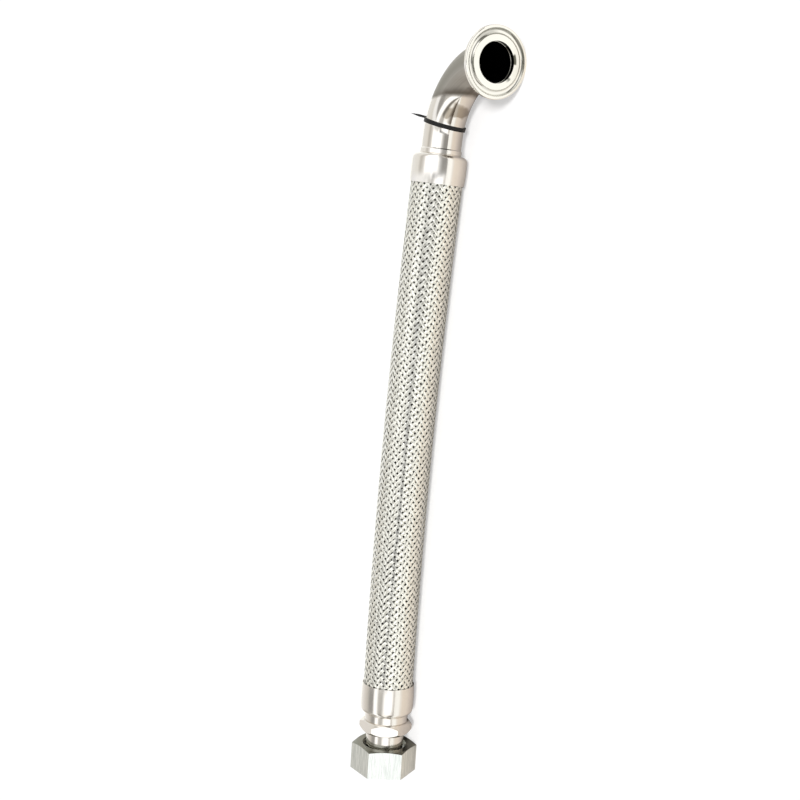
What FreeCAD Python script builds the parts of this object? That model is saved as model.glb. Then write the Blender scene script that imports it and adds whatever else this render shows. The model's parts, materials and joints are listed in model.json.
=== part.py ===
"""Braided metal hose with a loose union nut at one end and a clamp ferrule on an elbow at the other.

Every size is in millimetres. The hose is modelled along a local +X that starts at the mouth of the
union nut, and the finished pieces are then laid down as the hose comes to rest: on one flat of the
nut, on the rim of the far braid collar and on the rim of the clamp ferrule.
"""
import FreeCAD, Part
import math
import os

from FreeCAD import Placement, Rotation, Vector

# Union nut
NUT_ACROSS_FLATS = 57.0
NUT_HEIGHT = 27.0
NUT_CORNER_DROP = 1.5
NUT_THREAD_RADIUS = 23.9
NUT_THREAD_LENGTH = 15.0
NUT_UNDERCUT = 0.4
NUT_SHOULDER_THICKNESS = 6.0
NUT_HOLE_RADIUS = 20.5
NUT_HOLE_CHAMFER = 1.6
NUT_MOUTH_CHAMFER = 1.0
NUT_CLEARANCE = 0.3

# Tail tube with its sealing collar
TAIL_RADIUS = 19.0
TAIL_WALL = 1.5
SEAL_COLLAR_RADIUS = 22.0
SEAL_COLLAR_LENGTH = 4.6
TAIL_SHOWING = 13.0

# Hexagonal adapter and the ring above it
ADAPTER_ACROSS_FLATS = 46.0
ADAPTER_THICKNESS = 11.6
ADAPTER_FACE_RADIUS = 22.4
ADAPTER_CHAMFER_ANGLE = 40.0
ADAPTER_TURN = -5.0
NECK_RADIUS = 21.7
NECK_LENGTH = 8.3
RING_GROOVE = 0.9

# Braid collars
BOTTOM_COLLAR_LENGTH = 29.8
TOP_COLLAR_LENGTH = 27.5
COLLAR_LIP_RADIUS = 26.0
COLLAR_RADIUS = 26.6
COLLAR_SHOULDER_RADIUS = 26.3
COLLAR_SHOULDER_LENGTH = 5.0
COLLAR_END_RADIUS = 21.6
COLLAR_END_WALL = 4.0
BRAID_GRIP = 12.0

# Braided span
HOSE_LENGTH = 498.0
HOSE_TURN = 6.2
BRAID_RADIUS = 24.2
BRAID_THICKNESS = 0.8
BRAID_RIDGE = 0.8
BRAID_CELLS_ROUND = 12
BRAID_CLEARANCE = 0.3
GAP_SHARE = 0.34
GAP_ROW_STEP = 12

# Corrugated inner hose
BELLOWS_CREST_RADIUS = 22.2
BELLOWS_DEPTH = 2.6
BELLOWS_WALL = 0.6
BELLOWS_PITCH = 14.0
BELLOWS_SIDES = 12
BELLOWS_CUFF = 6.0
BELLOWS_RIDGES_TO_BORE_STEP = 4

# Top ring, elbow tube and clamp ferrule
TUBE_RADIUS = 19.0
TUBE_WALL = 1.2
TOP_RING_RADIUS = 19.9
TOP_RING_LENGTH = 5.5
STUB_LENGTH = 11.0
ELBOW_RADIUS = 66.0
ELBOW_ANGLE = 90.0
FERRULE_RADIUS = 32.0
FERRULE_BORE_RADIUS = 18.25
FERRULE_BORE_DEPTH = 5.0
FERRULE_LENGTH = 12.0
FERRULE_RIM = 2.85
FERRULE_TAPER_ANGLE = 20.0
FERRULE_ROUND = 1.2
FERRULE_FILLET_RADIUS = 2.0
SEAL_GROOVE_INNER = 23.8
SEAL_GROOVE_OUTER = 29.2
SEAL_GROOVE_DEPTH = 1.9

# Cable tie on the elbow
TIE_ELBOW_ANGLE = 10.5
TIE_TILT = 2.8
TIE_WIDTH = 3.8
TIE_THICKNESS = 1.2
TIE_CLEARANCE = 0.2
TIE_HEAD_ANGLE = -33.0
TIE_HEAD_LENGTH = 5.4
TIE_HEAD_WIDTH = 5.0
TIE_HEAD_HEIGHT = 4.2
TIE_TAIL_LENGTH = 33.0
TIE_TAIL_WIDTH = 2.2
TIE_TAIL_THICKNESS = 1.0
TIE_TAIL_POINT = 8.0

# Stations along the hose axis, from the mouth of the nut
SEAL_FACE = NUT_HEIGHT - NUT_SHOULDER_THICKNESS - NUT_CLEARANCE - SEAL_COLLAR_LENGTH
ADAPTER_START = NUT_HEIGHT + TAIL_SHOWING
NECK_START = ADAPTER_START + ADAPTER_THICKNESS
BOTTOM_COLLAR_START = NECK_START + NECK_LENGTH
HOSE_START = BOTTOM_COLLAR_START + BOTTOM_COLLAR_LENGTH
HOSE_END = HOSE_START + HOSE_LENGTH
TOP_RING_START = HOSE_END + TOP_COLLAR_LENGTH
STUB_START = TOP_RING_START + TOP_RING_LENGTH
ELBOW_START = STUB_START + STUB_LENGTH

TAIL_BORE_RADIUS = TAIL_RADIUS - TAIL_WALL
TUBE_BORE_RADIUS = TUBE_RADIUS - TUBE_WALL
BRAID_INNER_RADIUS = BRAID_RADIUS - BRAID_THICKNESS
BRAID_POCKET_RADIUS = BRAID_RADIUS + BRAID_RIDGE + BRAID_CLEARANCE
BELLOWS_POCKET_RADIUS = BELLOWS_CREST_RADIUS + BRAID_CLEARANCE

UP = Vector(0, 0, 1)
HALF_RIGHT = math.radians(45)
FACET_TOLERANCE = 0.001


def station(distance):
    """Placement of the hose axis at a distance from the nut's mouth: local X runs along the axis."""
    turn = math.radians(HOSE_TURN)
    bend_radius = HOSE_LENGTH / turn
    passed = min(max(distance - HOSE_START, 0.0), HOSE_LENGTH)
    angle = passed / bend_radius
    point = Vector(min(distance, HOSE_START), 0, 0)
    point += Vector(bend_radius * math.sin(angle), -bend_radius * (1 - math.cos(angle)), 0)
    beyond = max(distance - HOSE_END, 0.0)
    point += Vector(math.cos(angle), -math.sin(angle), 0) * beyond
    return Placement(point, Rotation(UP, -math.degrees(angle)))


def closed_face(edges):
    return Part.Face(Part.Wire(edges))


def lines(points):
    """Straight edges through (axial, radius) points."""
    corners = [Vector(axial, radius, 0) for axial, radius in points]
    return [Part.makeLine(first, second) for first, second in zip(corners, corners[1:])]


def arc(start, middle, end):
    return Part.Arc(*[Vector(axial, radius, 0) for axial, radius in (start, middle, end)]).toShape()


def turned(edges):
    """Solid turned about the local X axis from a closed outline of (axial, radius) edges."""
    return closed_face(edges).revolve(Vector(0, 0, 0), Vector(1, 0, 0), 360)


def sleeve(outer_radius, inner_radius, start, end):
    points = [(start, inner_radius), (start, outer_radius), (end, outer_radius), (end, inner_radius)]
    return turned(lines(points + points[:1]))


def hexagon(across_flats, start, end, turn=0.0):
    """Hexagonal prism along X with two flats that face up and down when turn is nought."""
    corner_radius = across_flats / math.sqrt(3)
    angles = [math.radians(turn + 60 * number) for number in range(7)]
    corners = [Vector(start, corner_radius * math.cos(a), corner_radius * math.sin(a)) for a in angles]
    return Part.Face(Part.makePolygon(corners)).extrude(Vector(end - start, 0, 0))


def make_union_nut():
    flat_radius = NUT_ACROSS_FLATS / 2
    corner_radius = NUT_ACROSS_FLATS / math.sqrt(3)
    blank = hexagon(NUT_ACROSS_FLATS, 0, NUT_HEIGHT)
    domed = turned(lines([
        (0, 0), (0, corner_radius), (NUT_HEIGHT - NUT_CORNER_DROP, corner_radius),
        (NUT_HEIGHT, flat_radius), (NUT_HEIGHT, 0), (0, 0),
    ]))
    shoulder = NUT_HEIGHT - NUT_SHOULDER_THICKNESS
    inside = turned(lines([
        (0, 0),
        (0, NUT_THREAD_RADIUS + NUT_MOUTH_CHAMFER),
        (NUT_MOUTH_CHAMFER, NUT_THREAD_RADIUS),
        (NUT_THREAD_LENGTH, NUT_THREAD_RADIUS),
        (NUT_THREAD_LENGTH, NUT_THREAD_RADIUS + NUT_UNDERCUT),
        (shoulder, NUT_THREAD_RADIUS + NUT_UNDERCUT),
        (shoulder, NUT_HOLE_RADIUS),
        (NUT_HEIGHT - NUT_HOLE_CHAMFER, NUT_HOLE_RADIUS),
        (NUT_HEIGHT, NUT_HOLE_RADIUS + NUT_HOLE_CHAMFER),
        (NUT_HEIGHT, 0),
        (0, 0),
    ]))
    return blank.common(domed).cut(inside)


def make_tail_tube():
    seal_end = SEAL_FACE + SEAL_COLLAR_LENGTH
    return turned(lines([
        (SEAL_FACE, TAIL_BORE_RADIUS),
        (SEAL_FACE, SEAL_COLLAR_RADIUS),
        (seal_end, SEAL_COLLAR_RADIUS),
        (seal_end, TAIL_RADIUS),
        (ADAPTER_START, TAIL_RADIUS),
        (ADAPTER_START, TAIL_BORE_RADIUS),
        (SEAL_FACE, TAIL_BORE_RADIUS),
    ]))


def make_hex_adapter():
    corner_radius = ADAPTER_ACROSS_FLATS / math.sqrt(3)
    drop = (corner_radius - ADAPTER_FACE_RADIUS) * math.tan(math.radians(ADAPTER_CHAMFER_ANGLE))
    blank = hexagon(ADAPTER_ACROSS_FLATS, ADAPTER_START, NECK_START, ADAPTER_TURN)
    chamfered = turned(lines([
        (ADAPTER_START, TAIL_BORE_RADIUS),
        (ADAPTER_START, ADAPTER_FACE_RADIUS),
        (ADAPTER_START + drop, corner_radius),
        (NECK_START - drop, corner_radius),
        (NECK_START, ADAPTER_FACE_RADIUS),
        (NECK_START, TAIL_BORE_RADIUS),
        (ADAPTER_START, TAIL_BORE_RADIUS),
    ]))
    return blank.common(chamfered)


def grooved_ring(radius, bore_radius, length):
    """Ring with a small V groove where it is welded at each end."""
    return turned(lines([
        (0, bore_radius),
        (0, radius - RING_GROOVE),
        (RING_GROOVE, radius),
        (length - RING_GROOVE, radius),
        (length, radius - RING_GROOVE),
        (length, bore_radius),
        (0, bore_radius),
    ]))


def braid_collar(length, bore_radius):
    """Barrel-shaped collar whose lip is at nought and whose rounded shoulder ends at its length."""
    shoulder_start = length - COLLAR_SHOULDER_LENGTH
    end_wall = length - COLLAR_END_WALL
    lip = (0, COLLAR_LIP_RADIUS)
    shoulder = (shoulder_start, COLLAR_SHOULDER_RADIUS)
    shoulder_middle = (
        shoulder_start + COLLAR_SHOULDER_LENGTH * math.sin(HALF_RIGHT),
        COLLAR_END_RADIUS + (COLLAR_SHOULDER_RADIUS - COLLAR_END_RADIUS) * math.cos(HALF_RIGHT),
    )
    outside = [
        arc(lip, (shoulder_start / 2, COLLAR_RADIUS), shoulder),
        arc(shoulder, shoulder_middle, (length, COLLAR_END_RADIUS)),
    ]
    inside = lines([
        (length, COLLAR_END_RADIUS),
        (length, bore_radius),
        (end_wall, bore_radius),
        (end_wall, BELLOWS_POCKET_RADIUS),
        (BRAID_GRIP, BELLOWS_POCKET_RADIUS),
        (BRAID_GRIP, BRAID_POCKET_RADIUS),
        (0, BRAID_POCKET_RADIUS),
        lip,
    ])
    return turned(outside + inside)


def make_bottom_braid_collar():
    """The lip faces the braid, so the collar is turned end for end."""
    collar = braid_collar(BOTTOM_COLLAR_LENGTH, TAIL_BORE_RADIUS)
    collar.Placement = Placement(Vector(HOSE_START, 0, 0), Rotation(UP, 180))
    return collar


def make_top_braid_collar():
    collar = braid_collar(TOP_COLLAR_LENGTH, TUBE_BORE_RADIUS)
    collar.Placement = station(HOSE_END)
    return collar


def on_sleeve(distance, angle, radius):
    """Point on a sleeve round the hose axis, at an angle in degrees from local +Y."""
    offset = Vector(0, radius * math.cos(math.radians(angle)), radius * math.sin(math.radians(angle)))
    return station(distance).multVec(offset)


def make_braid_sleeve():
    """Woven sleeve: one wall of raised diamond crossings, with open gaps between the wires."""
    start = HOSE_START - BRAID_GRIP + BRAID_CLEARANCE
    end = HOSE_END + BRAID_GRIP - BRAID_CLEARANCE
    cell_width = 2 * math.pi * BRAID_RADIUS / BRAID_CELLS_ROUND
    rows = 2 * round((end - start) / cell_width)
    row_length = (end - start) / rows
    half_step = 180.0 / BRAID_CELLS_ROUND
    points = []
    facets = []

    def add_point(row, half_columns, radius):
        points.append(on_sleeve(start + row * row_length, half_columns * half_step, radius))
        return len(points) - 1

    def wall_row(radius):
        return [
            [add_point(row, 2 * column + row % 2, radius) for column in range(BRAID_CELLS_ROUND)]
            for row in range(rows + 1)
        ]

    outer = wall_row(BRAID_RADIUS)
    inner = wall_row(BRAID_INNER_RADIUS)

    def cell_corners(wall, row, column):
        """Left, near, right and far corner of the diamond centred on a row between two columns."""
        ahead = (column + row % 2) % BRAID_CELLS_ROUND
        left = wall[row][column]
        right = wall[row][(column + 1) % BRAID_CELLS_ROUND]
        return left, wall[row - 1][ahead], right, wall[row + 1][ahead]

    def add_fan(rim, apex):
        for first, second in zip(rim, rim[1:] + rim[:1]):
            facets.append((first, second, apex))

    def add_band(rim, edge):
        for number in range(len(rim)):
            following = (number + 1) % len(rim)
            facets.append((rim[number], rim[following], edge[following]))
            facets.append((rim[number], edge[following], edge[number]))

    def gap_rim(corners, centre):
        rim = []
        for corner in corners:
            points.append(points[centre] + (points[corner] - points[centre]) * GAP_SHARE)
            rim.append(len(points) - 1)
        return rim

    for row in range(1, rows):
        for column in range(BRAID_CELLS_ROUND):
            middle = 2 * column + 1 + row % 2
            outside = cell_corners(outer, row, column)
            inside = cell_corners(inner, row, column)
            if row % GAP_ROW_STEP == GAP_ROW_STEP // 2:
                outer_rim = gap_rim(outside, add_point(row, middle, BRAID_RADIUS))
                inner_rim = gap_rim(inside, add_point(row, middle, BRAID_INNER_RADIUS))
                add_band(outside, outer_rim)
                add_band(outer_rim, inner_rim)
                add_band(inner_rim, inside)
            else:
                add_fan(list(outside), add_point(row, middle, BRAID_RADIUS + BRAID_RIDGE))
                left, near, right, far = inside
                facets.append((left, far, near))
                facets.append((near, far, right))

    def close_end(row, neighbour):
        """Fill the half diamonds of an end row and the ring between the two walls."""
        for column in range(BRAID_CELLS_ROUND):
            following = (column + 1) % BRAID_CELLS_ROUND
            ahead = (column + row % 2) % BRAID_CELLS_ROUND
            facets.append((outer[row][column], outer[row][following], outer[neighbour][ahead]))
            facets.append((inner[row][column], inner[row][following], inner[neighbour][ahead]))
            facets.append((outer[row][column], outer[row][following], inner[row][following]))
            facets.append((outer[row][column], inner[row][following], inner[row][column]))

    close_end(0, 1)
    close_end(rows, rows - 1)
    return solid_of_facets(points, facets)


def solid_of_facets(points, facets):
    """Closed solid of flat triangles."""
    used = sorted({corner for facet in facets for corner in facet})
    place = {corner: number for number, corner in enumerate(used)}
    shape = Part.Shape()
    kept_points = [points[corner] for corner in used]
    kept_facets = [tuple(place[corner] for corner in facet) for facet in facets]
    shape.makeShapeFromMesh((kept_points, kept_facets), FACET_TOLERANCE)
    solid = Part.makeSolid(Part.makeShell(shape.Faces))
    if solid.Volume < 0:
        solid.reverse()
    return solid


def make_corrugated_hose():
    """Bellows inside the braid, with a plain cuff at each end that stands on the collar's end wall."""
    start = BOTTOM_COLLAR_START + COLLAR_END_WALL
    end = TOP_RING_START - COLLAR_END_WALL
    ridged_length = end - start - 2 * BELLOWS_CUFF
    count = round(ridged_length / BELLOWS_PITCH)
    pitch = ridged_length / count
    root_radius = BELLOWS_CREST_RADIUS - BELLOWS_DEPTH
    bore_radius = root_radius - BELLOWS_WALL

    def ring(distance, radius):
        angles = [360.0 * side / BELLOWS_SIDES for side in range(BELLOWS_SIDES + 1)]
        return Part.makePolygon([on_sleeve(distance, angle, radius) for angle in angles])

    rings = [ring(start, root_radius)]
    for number in range(count):
        ridge_start = start + BELLOWS_CUFF + number * pitch
        rings.append(ring(ridge_start, root_radius))
        rings.append(ring(ridge_start + pitch / 2, BELLOWS_CREST_RADIUS))
    rings.append(ring(end - BELLOWS_CUFF, root_radius))
    rings.append(ring(end, root_radius))
    bore_steps = math.ceil(count / BELLOWS_RIDGES_TO_BORE_STEP)
    bore_rings = [
        ring(start + (end - start) * step / bore_steps, bore_radius) for step in range(bore_steps + 1)
    ]
    outside = Part.makeLoft(rings, True, True)
    bore = Part.makeLoft(bore_rings, True, True)
    return outside.cut(bore)


def make_neck_ring():
    ring = grooved_ring(NECK_RADIUS, TAIL_BORE_RADIUS, NECK_LENGTH)
    ring.Placement = station(NECK_START)
    return ring


def make_top_ring():
    ring = grooved_ring(TOP_RING_RADIUS, TUBE_BORE_RADIUS, TOP_RING_LENGTH)
    ring.Placement = station(TOP_RING_START)
    return ring


def ring_face(outer_radius, inner_radius, placement):
    """Flat ring across a tube whose axis is the placement's X."""
    centre = placement.Base
    axis = placement.Rotation.multVec(Vector(1, 0, 0))
    disc = Part.Face(Part.Wire(Part.makeCircle(outer_radius, centre, axis)))
    hole = Part.Face(Part.Wire(Part.makeCircle(inner_radius, centre, axis)))
    return disc.cut(hole)


def elbow_placement(angle):
    """Placement of the elbow's axis after it has turned by an angle, with local Y away from its centre."""
    start = station(ELBOW_START)
    along = start.Rotation.multVec(Vector(1, 0, 0))
    side = along.cross(UP)
    inward = side * math.cos(ELBOW_RISE) + UP * math.sin(ELBOW_RISE)
    turn_axis = along.cross(inward)
    centre = start.Base + inward * ELBOW_RADIUS
    turned_by = Rotation(turn_axis, angle)
    point = centre - turned_by.multVec(inward) * ELBOW_RADIUS
    tangent = turned_by.multVec(along)
    outward = turned_by.multVec(inward) * -1
    return Placement(point, Rotation(tangent, outward, Vector(), "XYZ")), centre, turn_axis


def swept_elbow(outer_radius, inner_radius, start_angle, end_angle):
    """Ring section turned about the elbow's centre from one angle to another."""
    placement, centre, turn_axis = elbow_placement(start_angle)
    section = ring_face(outer_radius, inner_radius, placement)
    return section.revolve(centre, turn_axis, end_angle - start_angle)


def elbow_rise():
    """Angle by which the elbow is raised, so that the ferrule's rim and the collar touch one floor."""
    arm = ELBOW_RADIUS + FERRULE_LENGTH - FERRULE_RIM / 2
    height = lay_height(ELBOW_START + ELBOW_RADIUS)
    reach = math.hypot(arm, FERRULE_RADIUS)
    return math.atan2(FERRULE_RADIUS, arm) - math.asin(height / reach)


def lay_slope():
    """Slope of the hose axis down from the nut to the far collar, both of which touch the floor."""
    collar_low_point = HOSE_END + (TOP_COLLAR_LENGTH - COLLAR_SHOULDER_LENGTH) / 2
    drop = NUT_ACROSS_FLATS / 2 - COLLAR_RADIUS
    return math.asin(drop / (station(collar_low_point).Base.x - NUT_HEIGHT))


def lay_height(distance):
    """Height of the hose axis above the floor at a station."""
    fall = (station(distance).Base.x - NUT_HEIGHT) * math.sin(lay_slope())
    return NUT_ACROSS_FLATS / 2 - fall


ELBOW_RISE = elbow_rise()


def make_elbow_tube():
    bend = swept_elbow(TUBE_RADIUS, TUBE_BORE_RADIUS, 0, ELBOW_ANGLE)
    stub = sleeve(TUBE_RADIUS, TUBE_BORE_RADIUS, 0, STUB_LENGTH)
    stub.Placement = station(STUB_START)
    return stub.fuse(bend).removeSplitter()


def make_clamp_ferrule():
    """Ferrule with a tapered clamp flange, a rounded rim and a half-round seal groove in its face."""
    face = FERRULE_LENGTH
    rim_back = face - FERRULE_RIM
    neck_radius = TUBE_RADIUS
    foot_radius = neck_radius + FERRULE_FILLET_RADIUS
    taper = (FERRULE_RADIUS - foot_radius) * math.tan(math.radians(FERRULE_TAPER_ANGLE))
    foot = rim_back - taper
    bore_end = face - FERRULE_BORE_DEPTH
    fillet_bevel = FERRULE_FILLET_RADIUS * (1 - math.cos(HALF_RIGHT))
    bevel = FERRULE_ROUND * (1 - math.cos(HALF_RIGHT))
    groove_middle = (SEAL_GROOVE_INNER + SEAL_GROOVE_OUTER) / 2
    edges = lines([(0, TUBE_BORE_RADIUS), (0, neck_radius), (foot - FERRULE_FILLET_RADIUS, neck_radius)])
    edges.append(arc(
        (foot - FERRULE_FILLET_RADIUS, neck_radius),
        (foot - fillet_bevel, neck_radius + fillet_bevel),
        (foot, foot_radius),
    ))
    edges += lines([(foot, foot_radius), (rim_back, FERRULE_RADIUS), (face - FERRULE_ROUND, FERRULE_RADIUS)])
    edges.append(arc(
        (face - FERRULE_ROUND, FERRULE_RADIUS),
        (face - bevel, FERRULE_RADIUS - bevel),
        (face, FERRULE_RADIUS - FERRULE_ROUND),
    ))
    edges += lines([(face, FERRULE_RADIUS - FERRULE_ROUND), (face, SEAL_GROOVE_OUTER)])
    edges.append(arc(
        (face, SEAL_GROOVE_OUTER),
        (face - SEAL_GROOVE_DEPTH, groove_middle),
        (face, SEAL_GROOVE_INNER),
    ))
    edges += lines([
        (face, SEAL_GROOVE_INNER),
        (face, FERRULE_BORE_RADIUS),
        (bore_end, FERRULE_BORE_RADIUS),
        (bore_end, TUBE_BORE_RADIUS),
        (0, TUBE_BORE_RADIUS),
    ])
    ferrule = turned(edges)
    ferrule.Placement = elbow_placement(ELBOW_ANGLE)[0]
    return ferrule


def make_cable_tie():
    """Moulded tie: a band round the foot of the elbow, its locking head behind it and its loose tail."""
    inner_radius = TUBE_RADIUS + TIE_CLEARANCE
    band = sleeve(inner_radius + TIE_THICKNESS, inner_radius, -TIE_WIDTH / 2, TIE_WIDTH / 2)
    seat = inner_radius + TIE_CLEARANCE
    head = Part.makeBox(
        TIE_HEAD_WIDTH, TIE_HEAD_HEIGHT, TIE_HEAD_LENGTH,
        Vector(-TIE_HEAD_WIDTH / 2, seat, -TIE_HEAD_LENGTH / 2),
    )
    tail_low = seat + TIE_HEAD_HEIGHT / 2
    half_width = TIE_TAIL_WIDTH / 2
    tail_end = TIE_HEAD_LENGTH / 2 + TIE_TAIL_LENGTH
    outline = Part.makePolygon([
        Vector(-half_width, tail_low, 0),
        Vector(-half_width, tail_low, tail_end - TIE_TAIL_POINT),
        Vector(0, tail_low, tail_end),
        Vector(half_width, tail_low, tail_end - TIE_TAIL_POINT),
        Vector(half_width, tail_low, 0),
        Vector(-half_width, tail_low, 0),
    ])
    tail = Part.Face(outline).extrude(Vector(0, TIE_TAIL_THICKNESS, 0))
    tie = band.fuse([head, tail]).removeSplitter()
    turned_round = Placement(Vector(), Rotation(Vector(1, 0, 0), TIE_HEAD_ANGLE))
    tilted = Placement(Vector(), Rotation(Vector(0, 1, 0), TIE_TILT))
    tie.Placement = elbow_placement(TIE_ELBOW_ANGLE)[0].multiply(turned_round).multiply(tilted)
    return tie


def make_pieces():
    return {
        "union_nut": make_union_nut(),
        "tail_tube": make_tail_tube(),
        "hex_adapter": make_hex_adapter(),
        "neck_ring": make_neck_ring(),
        "bottom_braid_collar": make_bottom_braid_collar(),
        "corrugated_hose": make_corrugated_hose(),
        "braid_sleeve": make_braid_sleeve(),
        "top_braid_collar": make_top_braid_collar(),
        "top_ring": make_top_ring(),
        "elbow_tube": make_elbow_tube(),
        "clamp_ferrule": make_clamp_ferrule(),
        "cable_tie": make_cable_tie(),
    }


def lay_down(pieces):
    """Tilt the pieces onto the floor and centre them over the origin."""
    slope = Rotation(Vector(0, 1, 0), math.degrees(lay_slope()))
    mouth_height = lay_height(0)
    laid = {}
    for name, piece in pieces.items():
        laid[name] = piece.copy()
        laid[name].Placement = Placement(Vector(0, 0, mouth_height), slope).multiply(piece.Placement)
    box = Part.makeCompound(list(laid.values())).optimalBoundingBox(False)
    shift = Vector(-box.Center.x, -box.Center.y, -box.ZMin)
    for piece in laid.values():
        piece.translate(shift)
    return laid, shift


def report_point(label, placement, shift):
    """Print where a mount or joint of the laid part is, and which way it points."""
    slope = Placement(Vector(0, 0, lay_height(0)), Rotation(Vector(0, 1, 0), math.degrees(lay_slope())))
    laid = slope.multiply(placement)
    point = laid.Base + shift
    axis = laid.Rotation.multVec(Vector(1, 0, 0))
    print(label, [round(value, 3) for value in point], [round(value, 6) for value in axis])


def main():
    os.makedirs("parts", exist_ok=True)
    pieces, shift = lay_down(make_pieces())
    for name, piece in pieces.items():
        piece.exportStep(f"parts/{name}.step")
        print(name, "valid" if piece.isValid() else "not valid", round(piece.Volume, 1), len(piece.Faces))
    face = elbow_placement(ELBOW_ANGLE)[0].multiply(Placement(Vector(FERRULE_LENGTH, 0, 0), Rotation()))
    report_point("ferrule face", face, shift)
    report_point("nut mouth", Placement(), shift)


main()
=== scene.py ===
"""Looks of the braided metal hose: its woven sleeve, bellows, nut thread and finishes, in a plain studio.

Lengths are in metres. The hose starts along ALONG from the mouth of the union nut, SIDE stays level and
RISE points up. TOP_ALONG is the way the hose runs at its upper end.
"""
import json
import math

import bpy
import numpy as np
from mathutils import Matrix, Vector


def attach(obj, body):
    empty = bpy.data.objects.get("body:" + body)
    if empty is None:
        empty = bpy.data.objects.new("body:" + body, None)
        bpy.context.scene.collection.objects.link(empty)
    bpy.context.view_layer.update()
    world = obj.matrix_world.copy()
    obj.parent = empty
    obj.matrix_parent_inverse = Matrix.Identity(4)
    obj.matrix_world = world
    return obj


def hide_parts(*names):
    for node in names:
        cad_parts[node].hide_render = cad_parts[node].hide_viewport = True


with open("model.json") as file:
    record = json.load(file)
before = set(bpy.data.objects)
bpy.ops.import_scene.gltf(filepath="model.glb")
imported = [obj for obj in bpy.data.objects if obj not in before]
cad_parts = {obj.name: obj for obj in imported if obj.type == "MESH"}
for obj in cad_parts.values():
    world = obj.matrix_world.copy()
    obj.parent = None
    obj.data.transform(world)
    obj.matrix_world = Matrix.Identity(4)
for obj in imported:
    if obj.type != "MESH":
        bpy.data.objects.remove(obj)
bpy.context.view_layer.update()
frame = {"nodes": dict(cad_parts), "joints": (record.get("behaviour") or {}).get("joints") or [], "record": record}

# The hose line, as in the part's source
HOSE_START = 0.0897
HOSE_LENGTH = 0.498
HOSE_TURN = math.radians(6.2)
BOTTOM_COLLAR_LENGTH = 0.0298
TOP_COLLAR_LENGTH = 0.0275
COLLAR_END_WALL = 0.004
ELBOW_RADIUS = 0.066
FERRULE_LENGTH = 0.012
TUBE_RADIUS = 0.019
TUBE_BORE_RADIUS = 0.0178
SWIVEL_FROM_MOUTH = 0.008

swivel = frame["joints"][0]
mounts = {mount["name"]: mount for mount in frame["record"]["mounts"]}
ALONG = -Vector(swivel["axis"]).normalized()
SIDE = Vector((0, 1, 0))
RISE = ALONG.cross(SIDE)
MOUTH = Vector(swivel["pos_m"]) - ALONG * SWIVEL_FROM_MOUTH
TOP_ALONG = ALONG * math.cos(HOSE_TURN) - SIDE * math.sin(HOSE_TURN)
FERRULE_BORE_RADIUS = mounts["ferrule_bore"]["dims"]["r_mm"] / 1000
THREAD_ROOT_RADIUS = mounts["union_thread"]["dims"]["r_mm"] / 1000

# The woven sleeve
STRANDS_EACH_WAY = 24
WEAVE_REPEAT = 0.0069
WEAVE_RADIUS = 0.02445
WEAVE_SWING = 0.0003
WEAVE_SQUARENESS = 0.75
WEAVE_STEEPNESS = 3.5
WEAVE_TWIST = math.radians(20)
WEAVE_SEED = 7
STRAND_WIDTH = 0.003
STRAND_CROWN = 0.00011
STRAND_UNDERSIDE = 0.0002
STRAND_EDGE = -0.00003
STRAND_SWAY = 0.00019
STRAND_SWAY_CROSSINGS = 3
STRAND_LIFT = 0.00002
WIRES_IN_STRAND = 5
WIRE_PEAK = 0.00008
WIRE_VALLEY = 0.00005
CROSSING_SAMPLES = (-0.36, 0.0, 0.36)

# Where the wires carry a painted dark reflection. A streak runs along the hose between its top and its near side,
# and a patch lies beside it at the lower end. Each stop is a share of the hose's length and the value there, and
# angles and widths are in degrees round the hose.
STREAK_ANGLES = ((0.3, 141.5), (0.5, 142), (0.7, 140), (1.0, 136))
STREAK_WIDTHS = ((0.0, 3.5), (0.3, 5.0), (0.65, 5.5), (0.8, 9.0), (1.0, 13.0))
STREAK_DEPTHS = ((0.0, 0.1), (0.15, 0.3), (0.3, 1.0), (0.7, 1.0), (1.0, 0.65))
STREAK_BY_HAND = {1: 0.7, -1: 1.0}
PATCH_ANGLE = 130
PATCH_WIDTH = 10
PATCH_DEPTHS = ((0.0, 0.7), (0.04, 1.0), (0.25, 1.0), (0.45, 0.0))

# The bellows inside it
BELLOWS_CREST = 0.0222
BELLOWS_ROOT = 0.0198
BELLOWS_WALL = 0.0004
BELLOWS_PITCH = 0.007
BELLOWS_CUFF = 0.006
BELLOWS_FULLNESS = 0.7
BELLOWS_SIDES = 40
BELLOWS_SAMPLES = 6

# The thread in the union nut
THREAD_PITCH = 0.00231
THREAD_START = 0.0012
THREAD_END = 0.0142
THREAD_HEIGHT = 0.0014
THREAD_FOOT = -0.00005
THREAD_PROFILE = ((-0.47, THREAD_FOOT), (-0.09, THREAD_HEIGHT), (0.09, THREAD_HEIGHT), (0.47, THREAD_FOOT))
THREAD_FADE_TURNS = 0.15
THREAD_SEGMENTS = 96

# The solids shade smooth up to edges sharper than this
CREASE_ANGLE = math.radians(18)


def laid(along):
    """A point on the straight lower end of the hose, or straight on from it."""
    return MOUTH + ALONG * along


# Meshes

def quad_mesh(name, points, quads):
    mesh = bpy.data.meshes.new(name)
    mesh.vertices.add(len(points))
    mesh.vertices.foreach_set("co", np.asarray(points, np.float32).ravel())
    mesh.loops.add(quads.size)
    mesh.loops.foreach_set("vertex_index", np.asarray(quads, np.int32).ravel())
    mesh.polygons.add(len(quads))
    mesh.polygons.foreach_set("loop_start", np.arange(0, quads.size, 4, dtype=np.int32))
    mesh.update(calc_edges=True)
    mesh.shade_smooth()
    return mesh


def store_values(mesh, name, values):
    """Keeps a number for each point of a mesh, for its material to read."""
    mesh.attributes.new(name, "FLOAT", "POINT").data.foreach_set("value", values.astype(np.float32))


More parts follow.
